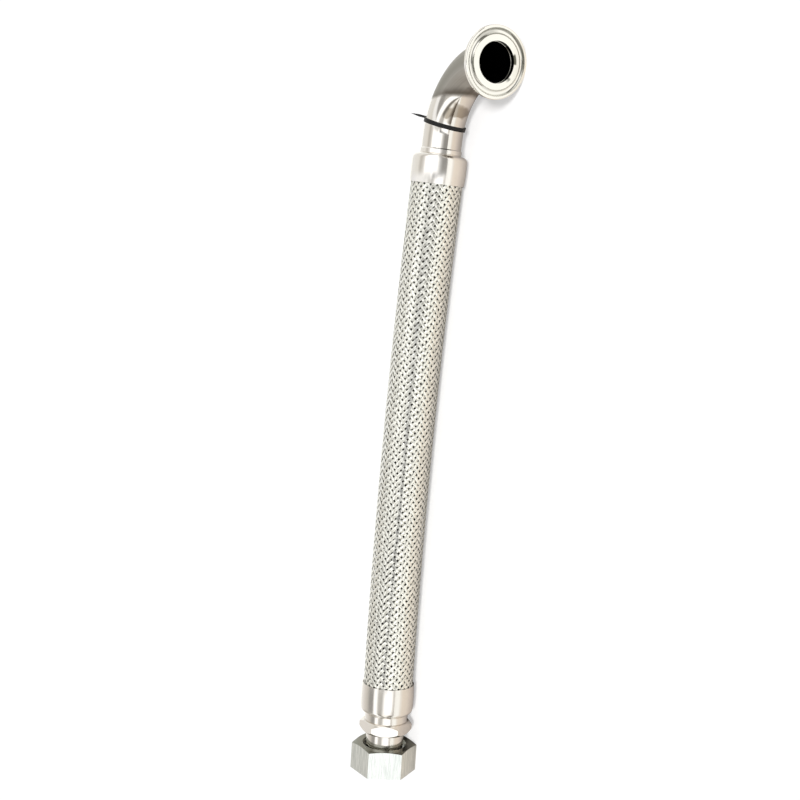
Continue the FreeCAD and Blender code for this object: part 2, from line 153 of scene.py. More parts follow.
def add_piece(name, mesh, material, body):
    piece = bpy.data.objects.new(name, mesh)
    bpy.context.scene.collection.objects.link(piece)
    mesh.materials.append(material)
    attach(piece, body)
    return piece


def ring_quads(rings, columns):
    """Quads of a skin over rings of points, whose numbers run ring by ring."""
    across = np.arange(columns)
    row = np.arange(rings - 1)[:, None] * columns
    here = row + across
    beside = row + (across + 1) % columns
    return np.stack([here, beside, beside + columns, here + columns], axis=-1).reshape(-1, 4)


def closed_quads(rings, columns):
    """Quads of a skin over rings that close on themselves both ways."""
    quads = ring_quads(rings + 1, columns)
    return (quads % (rings * columns))[:, ::-1]


class HoseLine:
    """The line of the hose between its two collars, and straight on beyond them."""

    def __init__(self, points):
        self.points = points
        steps = np.linalg.norm(np.diff(points, axis=0), axis=1)
        self.marks = np.concatenate([[0.0], np.cumsum(steps)])
        self.length = self.marks[-1]
        directions = np.gradient(points, self.marks, axis=0)
        self.directions = directions / np.linalg.norm(directions, axis=1)[:, None]

    def place(self, distances):
        """Points at distances along the line, and its direction there."""
        inside = np.clip(distances, 0.0, self.length)
        points = np.stack([np.interp(inside, self.marks, part) for part in self.points.T], axis=-1)
        along = np.stack([np.interp(inside, self.marks, part) for part in self.directions.T], axis=-1)
        along /= np.linalg.norm(along, axis=-1, keepdims=True)
        return points + along * (distances - inside)[..., None], along

    def surface(self, distances, angles, radii):
        """Points round the line, at angles that start level at the far side and pass over the top."""
        points, along = self.place(distances)
        rise = np.array(RISE)
        side = np.cross(rise, along)
        outward = np.cos(angles)[..., None] * side + np.sin(angles)[..., None] * rise
        return points + radii[..., None] * outward


def hose_route():
    """Where the hose leaves the lower collar, the corner of its bend, and where it enters the upper one."""
    reach = HOSE_LENGTH / HOSE_TURN * math.tan(HOSE_TURN / 2)
    start = laid(HOSE_START)
    corner = laid(HOSE_START + reach)
    end = corner + TOP_ALONG * reach
    return [start, corner, end]


def route_line(route):
    """The smooth line through a route, from a curve that is then taken out again."""
    curve = bpy.data.curves.new("hose_route", "CURVE")
    curve.dimensions = "3D"
    spline = curve.splines.new("NURBS")
    spline.points.add(len(route) - 1)
    for point, place in zip(spline.points, route):
        point.co = (*place, 1)
    spline.order_u = 3
    spline.use_endpoint_u = True
    spline.resolution_u = 64
    holder = bpy.data.objects.new("hose_route", curve)
    bpy.context.scene.collection.objects.link(holder)
    mesh = bpy.data.meshes.new_from_object(holder)
    points = np.array([vertex.co for vertex in mesh.vertices], float)
    bpy.data.objects.remove(holder)
    bpy.data.meshes.remove(mesh)
    return HoseLine(points)


def float_wave(columns):
    """Height of a strand from 1, over, to -1, under: it passes over two crossings and under two."""
    wave = np.cos(math.pi / 2 * (columns - 0.5))
    return WEAVE_SQUARENESS * np.clip(WEAVE_STEEPNESS * wave, -1, 1) + (1 - WEAVE_SQUARENESS) * wave


def strand_profile():
    """Places across a strand and heights of its ridges of wire, round from one edge to the underside."""
    count = 2 * WIRES_IN_STRAND + 1
    across = np.linspace(-0.5, 0.5, count)
    heights = np.where(np.arange(count) % 2, WIRE_PEAK, WIRE_VALLEY) + STRAND_CROWN * (1 - 4 * across ** 2)
    heights[0] = heights[-1] = STRAND_EDGE
    across = np.append(across, 0.0) * STRAND_WIDTH
    return across, np.append(heights, -STRAND_UNDERSIDE)


def along_stops(share, stops):
    places, values = zip(*stops)
    return np.interp(share, places, values)


def dark_reflection_share(share, angles, hand):
    """How much painted dark reflection the wires carry, from 0 to 1. The patch is only in the strands that wind to
    the left.
    """
    degrees = np.degrees(angles) % 360
    off_streak = (degrees - along_stops(share, STREAK_ANGLES)) / along_stops(share, STREAK_WIDTHS)
    dull = STREAK_BY_HAND[hand] * along_stops(share, STREAK_DEPTHS) * np.exp(-off_streak ** 2)
    if hand < 0:
        off_patch = (degrees - PATCH_ANGLE) / PATCH_WIDTH
        dull = dull + along_stops(share, PATCH_DEPTHS) * np.exp(-off_patch ** 2)
    return np.clip(dull, 0.0, 1.0)


def weave_mesh(name, line, hand, numbers, seed):
    """The strands of the given numbers that wind one way: right with hand 1, left with hand -1."""
    half_repeat = WEAVE_REPEAT / 2
    step = 2 * math.pi / STRANDS_EACH_WAY
    turn_per_metre = step / WEAVE_REPEAT
    lay = math.atan(turn_per_metre * WEAVE_RADIUS)
    rows = np.arange(-1, math.ceil(line.length / half_repeat) + 2)
    crossings = (rows[:, None] + np.array(CROSSING_SAMPLES)).ravel()
    middle = crossings[:, None] * half_repeat
    across, heights = strand_profile()
    columns = len(across)
    sheet = ring_quads(len(crossings), columns)[:, ::hand]
    randoms = np.random.default_rng(seed)
    points = []
    raised = []
    dull = []
    quads = []
    for place, number in enumerate(numbers):
        sway = randoms.normal(0.0, STRAND_SWAY, len(rows) // STRAND_SWAY_CROSSINGS + 3)
        drift = np.interp(crossings, np.linspace(rows[0], rows[-1], len(sway)), sway)
        swing = WEAVE_SWING * float_wave(2 * number + hand * crossings) * hand
        lift = WEAVE_RADIUS + swing + randoms.normal(0.0, STRAND_LIFT)
        offsets = across[None, :] + drift[:, None]
        distances = middle - hand * offsets * math.sin(lay)
        angles = number * step + (hand * turn_per_metre + WEAVE_TWIST / line.length) * middle
        angles = angles + offsets * math.cos(lay) / WEAVE_RADIUS
        radii = lift[:, None] + heights[None, :]
        points.append(line.surface(distances, angles, radii).reshape(-1, 3))
        raised.append(radii.ravel())
        dull.append(dark_reflection_share(distances / line.length, angles, hand).ravel())
        quads.append(sheet + place * len(crossings) * columns)
    mesh = quad_mesh(name, np.concatenate(points), np.concatenate(quads))
    mark_valleys(mesh, columns)
    top = WEAVE_RADIUS + WEAVE_SWING + WIRE_PEAK + STRAND_CROWN
    bottom = WEAVE_RADIUS - WEAVE_SWING
    # How raised each point is, for the painted shade where a strand dips under others
    store_values(mesh, "raised", np.clip((np.concatenate(raised) - bottom) / (top - bottom), 0.0, 1.0))
    # Shares of the painted dark reflection in the wires
    store_values(mesh, "dull", np.concatenate(dull))
    return mesh


def mark_valleys(mesh, columns):
    """Sharp edges between the wires of a strand, so that each wire shades as a round one."""
    ends = np.empty(2 * len(mesh.edges), np.int32)
    mesh.edges.foreach_get("vertices", ends)
    column = ends.reshape(-1, 2) % columns
    top = 2 * WIRES_IN_STRAND
    valley = (column[:, 0] == column[:, 1]) & (column[:, 0] % 2 == 0) & (column[:, 0] <= top)
    mesh.attributes.new("sharp_edge", "BOOLEAN", "EDGE").data.foreach_set("value", valley)


def bellows_mesh(line):
    """The bellows from collar to collar: a plain cuff at each end, ridges between, and its inner skin."""
    start = COLLAR_END_WALL - BOTTOM_COLLAR_LENGTH
    end = line.length + TOP_COLLAR_LENGTH - COLLAR_END_WALL
    ridged = end - start - 2 * BELLOWS_CUFF
    count = round(ridged / BELLOWS_PITCH)
    turns = np.arange(count * BELLOWS_SAMPLES + 1) / BELLOWS_SAMPLES
    distances = start + BELLOWS_CUFF + turns * ridged / count
    ridge = (0.5 - 0.5 * np.cos(2 * math.pi * turns)) ** BELLOWS_FULLNESS
    radii = BELLOWS_ROOT + (BELLOWS_CREST - BELLOWS_ROOT) * ridge
    distances = np.concatenate([[start], distances, [end]])
    radii = np.concatenate([[BELLOWS_ROOT], radii, [BELLOWS_ROOT]])
    distances = np.concatenate([distances, distances[::-1]])
    radii = np.concatenate([radii, radii[::-1] - BELLOWS_WALL])
    angles = np.linspace(0, 2 * math.pi, BELLOWS_SIDES, endpoint=False)
    shape = (len(distances), BELLOWS_SIDES)
    round_it = np.broadcast_to(angles, shape)
    along_it = np.broadcast_to(distances[:, None], shape)
    points = line.surface(along_it, round_it, np.broadcast_to(radii[:, None], shape))
    return quad_mesh("corrugations", points.reshape(-1, 3), closed_quads(*shape))


def thread_mesh():
    """Ridge of the nut's thread, which fades out at both ends."""
    turns = (THREAD_END - THREAD_START) / THREAD_PITCH
    steps = round(turns * THREAD_SEGMENTS)
    turn = np.arange(steps + 1) / THREAD_SEGMENTS
    fade = np.clip(np.minimum(turn, turns - turn) / THREAD_FADE_TURNS, 0.0, 1.0)
    angles = 2 * math.pi * turn
    centre = THREAD_START + turn * THREAD_PITCH
    lines = []
    for shift, height in THREAD_PROFILE:
        along = centre + shift * THREAD_PITCH
        radius = THREAD_ROOT_RADIUS - np.where(height > 0, height * fade, height)
        lines.append(np.stack([along, radius * np.cos(angles), radius * np.sin(angles)], axis=-1))
    local = np.stack(lines, axis=1).reshape(-1, 3)
    points = local @ np.array([ALONG, SIDE, RISE]) + np.array(MOUTH)
    return quad_mesh("thread_ridge", points, ring_quads(steps + 1, len(THREAD_PROFILE)))


# Node trees

class Value:
    """A number, colour or place that a material works out. On numbers, sums are written as plain ones."""

    def __init__(self, nodes, socket):
        self.nodes = nodes
        self.socket = socket

    def __add__(self, other):
        return self.nodes.math("ADD", self, other)

    __radd__ = __add__

    def __sub__(self, other):
        return self.nodes.math("SUBTRACT", self, other)

    def __rsub__(self, other):
        return self.nodes.math("SUBTRACT", other, self)

    def __mul__(self, other):
        return self.nodes.math("MULTIPLY", self, other)

    __rmul__ = __mul__

    def __truediv__(self, other):
        return self.nodes.math("DIVIDE", self, other)

    def __abs__(self):
        return self.nodes.math("ABSOLUTE", self)

    def clamped(self):
        return self.nodes.add("ShaderNodeMath", {"operation": "ADD", "use_clamp": True}, {0: self, 1: 0.0})

    def rise(self, low, high):
        """Goes smoothly from 0 at low to 1 at high."""
        inputs = {"Value": self, "From Min": low, "From Max": high}
        return self.nodes.add("ShaderNodeMapRange", {"interpolation_type": "SMOOTHSTEP"}, inputs)

    def band(self, low, full, fading, high):
        """Goes smoothly from 0 at low to 1 at full, and from 1 at fading to 0 at high."""
        return self.rise(low, full) * (1 - self.rise(fading, high))


class Nodes:
    """The nodes of one material or world."""

    def __init__(self, tree):
        self.tree = tree

    def add(self, kind, settings=None, inputs=None, output=None):
        """A new node, from its settings and then the values or links of its sockets.

        Gives the output that is named, or else its first one in use.
        """
        node = self.tree.nodes.new(kind)
        for name, value in (settings or {}).items():
            if name == "stops":
                self.set_stops(node.color_ramp, value)
            else:
                setattr(node, name, value)
        for name, value in (inputs or {}).items():
            self.feed(node.inputs[name], value)
        if output is None:
            return Value(self, next(socket for socket in node.outputs if socket.enabled))
        return Value(self, node.outputs[output])

    def feed(self, socket, value):
        if isinstance(value, Value):
            self.tree.links.new(value.socket, socket)
        else:
            socket.default_value = value

    def set_stops(self, ramp, stops):
        while len(ramp.elements) < len(stops):
            ramp.elements.new(1.0)
        for element, (place, colour) in zip(ramp.elements, stops):
            element.position = place
            element.color = (*colour, 1)

    def math(self, operation, *numbers):
        return self.add("ShaderNodeMath", {"operation": operation}, dict(enumerate(numbers)))

    def vector(self, operation, *inputs):
        return self.add("ShaderNodeVectorMath", {"operation": operation}, dict(enumerate(inputs)))

    def place(self):
        """Where a point is on the piece, in its own coordinates."""
        return self.add("ShaderNodeTexCoord", output="Object")

    def facing(self):
        """Which way the surface faces, in the piece's own coordinates."""
        return self.add("ShaderNodeTexCoord", output="Normal")

    def stored(self, name):
        """A number kept for each point of the mesh."""
        return self.add("ShaderNodeAttribute", {"attribute_name": name}, output="Fac")

    def ray(self, kind):
        """1 for the rays of one kind, 0 for the others."""
        return self.add("ShaderNodeLightPath", output=kind)

    def from_point(self, point):
        return self.vector("SUBTRACT", self.place(), tuple(point))

    def reach(self, offset, direction):
        """How far an offset goes in a direction."""
        return self.vector("DOT_PRODUCT", offset, tuple(direction))

    def from_axis(self, offset, axis):
        """Distance from an axis."""
        return self.vector("LENGTH", self.vector("CROSS_PRODUCT", offset, tuple(axis)))

    def join(self, x, y, z):
        return self.add("ShaderNodeCombineXYZ", None, {"X": x, "Y": y, "Z": z})

    def noise(self, place, scale, detail=2.0, roughness=0.5):
        inputs = {"Vector": place, "Scale": scale, "Detail": detail, "Roughness": roughness}
        return self.add("ShaderNodeTexNoise", None, inputs)

    def ramp(self, share, stops):
        """Colour along a row of stops, each a place from 0 to 1 and a colour."""
        return self.add("ShaderNodeValToRGB", {"stops": stops}, {"Fac": share})

    def mix(self, share, first, second):
        """Colour that goes from the first to the second as the share goes from 0 to 1."""
        inputs = {0: share, 6: rgba(first), 7: rgba(second)}
        return self.add("ShaderNodeMix", {"data_type": "RGBA"}, inputs, output=2)

    def bump(self, height, distance, strength):
        inputs = {"Height": height, "Distance": distance, "Strength": strength}
        return self.add("ShaderNodeBump", None, inputs)


def rgba(colour):
    return colour if isinstance(colour, Value) else (*colour, 1)


def scaled(colour, factor):
    return [factor * part for part in colour]


class Finish(Nodes):
    """A material, made of one Principled surface."""

    def __init__(self, name, **surface):
        self.material = bpy.data.materials.new(name)
        self.material.use_nodes = True
        super().__init__(self.material.node_tree)
        self.surface = self.tree.nodes["Principled BSDF"]
        self.set(**surface)

    def set(self, **surface):
        for name, value in surface.items():
            socket = self.surface.inputs[name.replace("_", " ").title().replace("Ior", "IOR")]
            self.feed(socket, rgba(value) if name.endswith("color") else value)


# Finishes

POLISHED = (0.91, 0.885, 0.85)
PALE_POLISHED = (0.97, 0.95, 0.92)
SATIN = (0.40, 0.39, 0.355)
INNER_SATIN = (0.60, 0.575, 0.54)
# Darker brown along the edge of the elbow's satin
SATIN_EDGE_DARK = (0.15, 0.125, 0.10)
# Brown blotches on the inner side of the elbow's polished bend
BROWN_BLOTCH = (0.42, 0.375, 0.32)
# Painted shade inside the elbow's and the ferrule's bores
PAINTED_BORE_SHADE = (0.03, 0.029, 0.028)
CREAM = (0.98, 0.965, 0.92)
GROOVE_SHADE = (0.13, 0.13, 0.105)
NUT_GREY = (0.94, 0.975, 0.96)
NUT_DULL = (0.56, 0.60, 0.585)
# Painted dark reflection on the nut's face round the hole
NUT_FACE_DARK_REFLECTION = (0.22, 0.225, 0.19)
WIRE = (1.0, 1.0, 0.935)
DULL_WIRE = (0.76, 0.76, 0.70)
# Wire in the painted dark reflection
WIRE_IN_DARK_REFLECTION = (0.28, 0.28, 0.27)
# Painted shade where a strand dips under others
SHADED_WIRE = (0.08, 0.08, 0.073)
# Painted shade, as the bellows shows through the gaps of the sleeve
BELLOWS_SHADE_GREY = (0.018, 0.018, 0.017)
NYLON = (0.012, 0.012, 0.012)

# How fine the grain of each finish is, in cells of noise per metre
SMUDGES = 55.0
NUT_SMUDGES = 70.0
BELLOWS_SMUDGES = 80.0
LATHE_LINES = 2600.0
FERRULE_LINES = 1800.0
DRAWN_LINES = 650.0
EDGE_WAVER = 90.0
BLOTCH_GRAIN = 75.0
NUT_STREAKS_ALONG = 45.0
NUT_STREAKS_ACROSS = 520.0
WIRE_GLINTS = 420.0
WIRE_MOTTLES = 260.0
NYLON_GRAIN = 1800.0

# Where the elbow's finish changes. Along X, the brown blotches come and go, the polish ends in satin and the
# darker edge of the satin fades. The inner side is full this far in from the tube's centre line, and the
# blotches start this far down from it. The bore's painted shade fades out from this far outside its wall.
BLOTCH_RANGE = (0.2880, 0.2900, 0.2955, 0.2985)
SATIN_START = (0.3035, 0.3075)
DARK_EDGE_END = (0.3070, 0.3140)
INNER_SIDE = 0.013
BLOTCH_TOP = (-0.0125, -0.0100)
BORE_MARGIN = 0.0002

# Radii between which painted shade in the groove and two dark spots come and go on the ferrule's face, how deep
# the face reaches, and the edge of the painted shade in its bore
OUTER_WALL = (0.0270, 0.0282, 0.0293, 0.0297)
INNER_WALL = (0.0235, 0.0239, 0.0245, 0.0264)
GROOVE_FLOOR = (0.0248, 0.0258, 0.0274, 0.0284)
SPOTS_BY_BORE = (0.0200, 0.0214)
FACE_DEPTH = (-0.0035, -0.0030)
BORE_EDGE = (FERRULE_BORE_RADIUS - 0.00035, FERRULE_BORE_RADIUS + 0.00015)

# How dark each of them is, round the face from the nut's side over the top
OUTER_WALL_SHADE = (
    (0.0, 0.2), (0.1, 0.15), (0.3, 0.0), (0.42, 0.5), (0.5, 0.8), (0.62, 0.75), (0.68, 0.95),
    (0.755, 0.95), (0.8, 0.35), (0.9, 0.55), (0.94, 0.45), (1.0, 0.2),
)
INNER_WALL_SHADE = (
    (0.0, 0.35), (0.13, 0.35), (0.18, 0.9), (0.25, 0.9), (0.285, 0.15), (0.34, 0.15), (0.36, 0.85),
    (0.4, 0.8), (0.44, 0.4), (0.49, 0.3), (0.55, 0.0), (0.9, 0.0), (1.0, 0.35),
)
GROOVE_FLOOR_SHADE = ((0.0, 0.0), (0.33, 0.0), (0.38, 0.4), (0.46, 0.35), (0.5, 0.0), (1.0, 0.0))
SPOTS_BY_BORE_SHADE = (
    (0.0, 0.0), (0.665, 0.0), (0.68, 1.0), (0.74, 1.0), (0.75, 0.0), (0.845, 0.0), (0.86, 0.9),
    (0.895, 0.0),
)


def lathe_lines(finish, origin, axis, scale):
    """Fine lines left by turning, round the axis of a fitting."""
    along = finish.reach(finish.from_point(origin), axis)
    return finish.noise(finish.join(along, 0.0, 0.0), scale, 3.0)


def smudges(finish, scale=SMUDGES):
    """Slow change from brighter to duller patches, as handled bright metal has."""
    return finish.noise(finish.place(), scale, 4.0, 0.6)


def polished_finish(name, origin, axis, colour):
    """Bright turned steel with faint lines round it."""
    finish = Finish(name, metallic=1.0)
    lines = lathe_lines(finish, origin, axis, LATHE_LINES)
    patches = smudges(finish)
    finish.set(
        base_color=finish.mix(patches, scaled(colour, 0.94), colour),
        roughness=0.08 + 0.07 * patches + 0.05 * lines,
        normal=finish.bump(lines, 0.00001, 0.5),
    )
    return finish.material


def elbow_finish(bend_centre, turn_axis):
    """Polished at its foot and satin beyond a line, with drawn lines along the tube and painted shade in its bore.
    """
    finish = Finish("elbow_steel", metallic=1.0)
    patches = smudges(finish)
    offset = finish.from_point(bend_centre)
    down = finish.reach(offset, turn_axis)
    outward = finish.reach(offset, turn_axis.cross(TOP_ALONG))
    past_foot = finish.math("MAXIMUM", finish.reach(offset, TOP_ALONG), 0.0)
    distance = finish.vector("LENGTH", finish.join(past_foot, outward, 0.0))
    from_tube_line = finish.vector("LENGTH", finish.join(distance - ELBOW_RADIUS, down, 0.0))
    inner = (ELBOW_RADIUS - distance).rise(0.0, INNER_SIDE)
    drawn = finish.noise(finish.join(distance, down, 0.0), DRAWN_LINES, 4.0, 0.65)

    along = finish.reach(finish.place(), (1.0, 0.0, 0.0))
    uneven = along + 0.0025 * finish.noise(finish.place(), EDGE_WAVER) + 0.0004 * drawn
    blotchy = uneven + 0.018 * (finish.noise(finish.place(), BLOTCH_GRAIN, 1.0) - 0.5)
    # Brown blotches on the inner side of the polished bend
    blotched = 0.95 * inner.rise(0.1, 0.3) * down.rise(*BLOTCH_TOP) * blotchy.band(*BLOTCH_RANGE)
    polished = finish.mix(patches, scaled(POLISHED, 0.94), POLISHED)
    polished = finish.mix(blotched, polished, BROWN_BLOTCH)

    # Darker brown along the edge of the satin, more on the inner side
    dark_edge = (1 - uneven.rise(*DARK_EDGE_END)) * (0.25 + 0.6 * inner)
    brushed = finish.mix(dark_edge, finish.mix(inner, SATIN, INNER_SATIN), SATIN_EDGE_DARK)
    dimmed = finish.vector("MULTIPLY", brushed, (0.82, 0.82, 0.82))
    brushed = finish.mix(drawn.rise(0.3, 0.7), dimmed, brushed)

    satin = uneven.rise(*SATIN_START)
    outside = from_tube_line.rise(TUBE_BORE_RADIUS + BORE_MARGIN, TUBE_RADIUS)
    finish.set(
        # The inside of the bore is painted near black, as painted shade
        base_color=finish.mix(outside, PAINTED_BORE_SHADE, finish.mix(satin, polished, brushed)),
        roughness=(0.05 + 0.05 * patches) * (1 - satin) + (0.34 + 0.12 * drawn) * satin,
        normal=finish.bump(drawn, 0.00002, 0.6),
    )
    return finish.material


def round_the_clock(finish, clock, shades):
    return finish.ramp(clock, [(place, (shade, shade, shade)) for place, shade in shades])


def ferrule_finish(origin, axis):
    """Bright, with painted shade in the seal groove, two dark spots by the bore and painted shade in the bore."""
    finish = Finish("ferrule_steel", metallic=1.0)
    lines = lathe_lines(finish, origin, axis, FERRULE_LINES)
    patches = smudges(finish)
    offset = finish.from_point(origin)
    radius = finish.from_axis(offset, axis)
    down = finish.reach(offset, (0.0, 0.0, -1.0))
    away = finish.reach(offset, (1.0, 0.0, 0.0))
    clock = finish.math("ARCTAN2", down, away) / (2 * math.pi) + 0.5
    shade = radius.band(*OUTER_WALL) * round_the_clock(finish, clock, OUTER_WALL_SHADE)
    shade = shade + radius.band(*INNER_WALL) * round_the_clock(finish, clock, INNER_WALL_SHADE)
    shade = shade + radius.band(*GROOVE_FLOOR) * round_the_clock(finish, clock, GROOVE_FLOOR_SHADE)
    shade = shade + (1 - radius.rise(*SPOTS_BY_BORE)) * round_the_clock(finish, clock, SPOTS_BY_BORE_SHADE)
    shade = (shade * finish.reach(offset, axis).rise(*FACE_DEPTH)).clamped()
    bright = finish.mix(patches, scaled(CREAM, 0.95), CREAM)
    finish.set(
        # Painted shade in the groove and the bore, and two dark spots by the bore
        base_color=finish.mix(radius.rise(*BORE_EDGE), PAINTED_BORE_SHADE, finish.mix(shade, bright, GROOVE_SHADE)),
        roughness=0.06 + 0.05 * patches + 0.04 * lines,
        normal=finish.bump(lines, 0.00001, 0.5),
    )
    return finish.material


def nut_finish():
    """Brushed along the flats, with a painted dark reflection on the turned face round the hole."""
    finish = Finish("nut_steel", metallic=1.0)
    offset = finish.from_point(MOUTH)
    along = finish.reach(offset, ALONG) * NUT_STREAKS_ALONG
    side = finish.reach(offset, SIDE) * NUT_STREAKS_ACROSS
    rise = finish.reach(offset, RISE) * NUT_STREAKS_ACROSS
    streaks = finish.noise(finish.join(along, side, rise), 1.0, 4.0, 0.65)
    patches = smudges(finish, NUT_SMUDGES)
    face = finish.reach(finish.facing(), ALONG).rise(0.5, 0.65)
    bright = (0.65 * streaks.rise(0.30, 0.70) + 0.35 * patches).clamped()
    finish.set(
        # The face round the hole carries a painted dark reflection
        base_color=finish.mix(face, finish.mix(bright, NUT_DULL, NUT_GREY), NUT_FACE_DARK_REFLECTION),
        roughness=0.15 + 0.12 * streaks + 0.05 * patches,
        normal=finish.bump(streaks, 0.00004, 0.6),
    )
    return finish.material


def wire_finish():
    """Bright wire with glints, with painted shade where a strand dips under others and a painted dark reflection
    in a streak and a patch.
    """
    finish = Finish("braid_wire", metallic=0.8)
    glints = finish.noise(finish.place(), WIRE_GLINTS)
    mottled = 0.45 + 0.55 * finish.noise(finish.place(), WIRE_MOTTLES).rise(0.38, 0.58)
    bright = finish.mix(glints.rise(0.34, 0.62), DULL_WIRE, WIRE)
    # Painted dark reflection, in a streak along the hose and a patch at its lower end
    reflection_darkened = finish.mix(finish.stored("dull") * mottled, bright, WIRE_IN_DARK_REFLECTION)
    finish.set(
        # Painted shade where a strand dips under others
        base_color=finish.mix(finish.stored("raised").rise(-0.1, 0.2), SHADED_WIRE, reflection_darkened),
        roughness=0.10 + 0.10 * glints,
    )
    return finish.material


def bellows_finish():
    """Drawn steel painted near black, as painted shade where it shows through the gaps of the sleeve."""
    finish = Finish("bellows_steel", metallic=1.0)
    patches = smudges(finish, BELLOWS_SMUDGES)
    finish.set(
        base_color=finish.mix(patches, scaled(BELLOWS_SHADE_GREY, 0.8), BELLOWS_SHADE_GREY),
        roughness=0.35 + 0.15 * patches,
    )
    return finish.material


def nylon_finish():
    """Moulded nylon with a faint grain."""
    finish = Finish("black_nylon", specular_ior_level=0.2)
    grain = finish.noise(finish.place(), NYLON_GRAIN)
    finish.set(
        base_color=finish.mix(grain, scaled(NYLON, 0.8), scaled(NYLON, 1.3)),
        roughness=0.34 + 0.14 * grain,
        normal=finish.bump(grain, 0.00005, 0.4),
    )
    return finish.material


# Studio

WHITE = (1.0, 1.0, 1.0)
BLACK = (0.0, 0.0, 0.0)
ROOM_LIGHT = (0.40, 0.40, 0.41)
PAPER = (0.80, 0.79, 0.77)
PAPER_TO_THE_EYE = (0.65, 0.65, 0.65)
PAPER_GLOW = 0.40
WARM_GREY = (0.62, 0.57, 0.50)
DULL = (0.36, 0.345, 0.325)
BRIGHT = (1.3, 1.29, 1.27)
GLARE = (1.55, 1.54, 1.52)
DARK = (0.03, 0.03, 0.035)

# Bands that bright metal sees over the hose, as degrees up from the near side and a colour. There are four
# sets, from the end of the room beyond the nut to the end beyond the elbow.
FAR_BANDS = (
    (0, (0.22, 0.19, 0.155)), (12, (0.22, 0.19, 0.16)), (20, (0.50, 0.47, 0.42)),
    (28, (0.85, 0.82, 0.76)), (35, (1.15, 1.12, 1.06)), (50, (1.10, 1.07, 1.0)),
    (57, (0.50, 0.47, 0.42)), (63, (0.22, 0.20, 0.17)), (71, (0.20, 0.185, 0.16)),
    (75, (0.90, 0.88, 0.85)), (79, BRIGHT), (94, BRIGHT), (99, (0.55, 0.53, 0.50)),
    (116, (0.50, 0.48, 0.43)), (135, (0.46, 0.43, 0.39)), (180, WARM_GREY),
)
LOWER_BANDS = (
    (0, (0.70, 0.67, 0.62)), (6, (0.70, 0.67, 0.62)), (12, BRIGHT), (18, GLARE), (31, GLARE),
    (38, BRIGHT), (44, BRIGHT), (56, (0.54, 0.52, 0.49)), (72, (0.60, 0.58, 0.54)), (80, BRIGHT),
    (91, BRIGHT), (98, DULL), (115, DULL), (130, (0.62, 0.585, 0.53)), (150, (0.76, 0.72, 0.67)),
    (180, (0.95, 0.93, 0.90)),
)
MIDDLE_BANDS = (
    (0, BRIGHT), (10, BRIGHT), (18, DARK), (53, DARK), (61, BRIGHT), (68, (0.80, 0.79, 0.76)),
    (88, (0.80, 0.79, 0.76)), (98, (1.0, 0.99, 0.97)), (125, (1.0, 0.99, 0.97)),
    (150, (0.90, 0.89, 0.89)), (180, (0.85, 0.84, 0.86)),
)
UPPER_BANDS = (
    (0, (0.30, 0.29, 0.27)), (20, (0.32, 0.31, 0.29)), (30, (0.58, 0.57, 0.55)), (42, BRIGHT),
    (92, BRIGHT), (101, (0.74, 0.71, 0.67)), (116, (0.52, 0.49, 0.44)), (130, (0.80, 0.77, 0.71)),
    (180, (0.85, 0.84, 0.81)),
)

# Where one set of bands gives way to the next, as the part of a direction that runs along the hose
FAR_TO_LOWER = (-0.50, -0.40)
LOWER_TO_MIDDLE = (-0.20, -0.10)
MIDDLE_TO_UPPER = (-0.06, 0.0)

# What bright metal sees of the floor, by the distance from a line under the hose: darker near the line, as a
# painted shadow of the hose
FLOOR_IN_METAL = (
    (0.00, (0.40, 0.37, 0.34)), (0.012, (0.45, 0.41, 0.38)), (0.026, (0.66, 0.59, 0.53)),
    (0.036, (0.77, 0.69, 0.60)), (0.060, (0.83, 0.745, 0.64)), (0.085, (0.89, 0.845, 0.77)),
    (0.11, (1.06, 1.05, 0.99)),
)
ACROSS_THE_HOSE = (-0.06, -0.998, 0.0)
LINE_UNDER_HOSE = -0.0245
FLOOR_HALF_WIDTH = 6.0

LAMP_STRENGTH = 2.67
LAMP_SPREAD = math.radians(12)
LAMP_TILT = math.radians(44)
SENSOR_WIDTH = 36.0
LENS = 51.167
NEAREST_SEEN = 0.01
FARTHEST_SEEN = 50.0
CAMERA_PLACE = (0.10545, -0.89178, 0.65074)
CAMERA_TURN = (0.90054, 56.78162, -83.48541)


def bands_seen(nodes, angle, bands):
    return nodes.ramp(angle / 180, [(degrees / 180, colour) for degrees, colour in bands])


def build_world():
    """A plain studio: white to the eye, pale as light, and soft bands along the hose in bright metal."""
    world = bpy.data.worlds.new("studio")
    world.use_nodes = True
    bpy.context.scene.world = world
    nodes = Nodes(world.node_tree)
    towards = nodes.add("ShaderNodeTexCoord", output="Generated")
    along = nodes.reach(towards, (1.0, 0.0, 0.0))
    near = nodes.reach(towards, (0.0, -1.0, 0.0))
    up = nodes.reach(towards, (0.0, 0.0, 1.0))
    past_elbow = nodes.reach(towards, TOP_ALONG)
    angle = nodes.math("ARCTAN2", up, near) * (180 / math.pi)
    reflected = bands_seen(nodes, angle, FAR_BANDS)
    changes = (
        (along.rise(*FAR_TO_LOWER), LOWER_BANDS),
        (along.rise(*LOWER_TO_MIDDLE), MIDDLE_BANDS),
        (past_elbow.rise(*MIDDLE_TO_UPPER), UPPER_BANDS),
    )
    for share, bands in changes:
        reflected = nodes.mix(share, reflected, bands_seen(nodes, angle, bands))
    plain = nodes.mix(nodes.ray("Is Camera Ray"), ROOM_LIGHT, WHITE)
    background = world.node_tree.nodes["Background"]
    nodes.feed(background.inputs["Color"], nodes.mix(nodes.ray("Is Glossy Ray"), plain, reflected))
    background.inputs["Strength"].default_value = 1.0


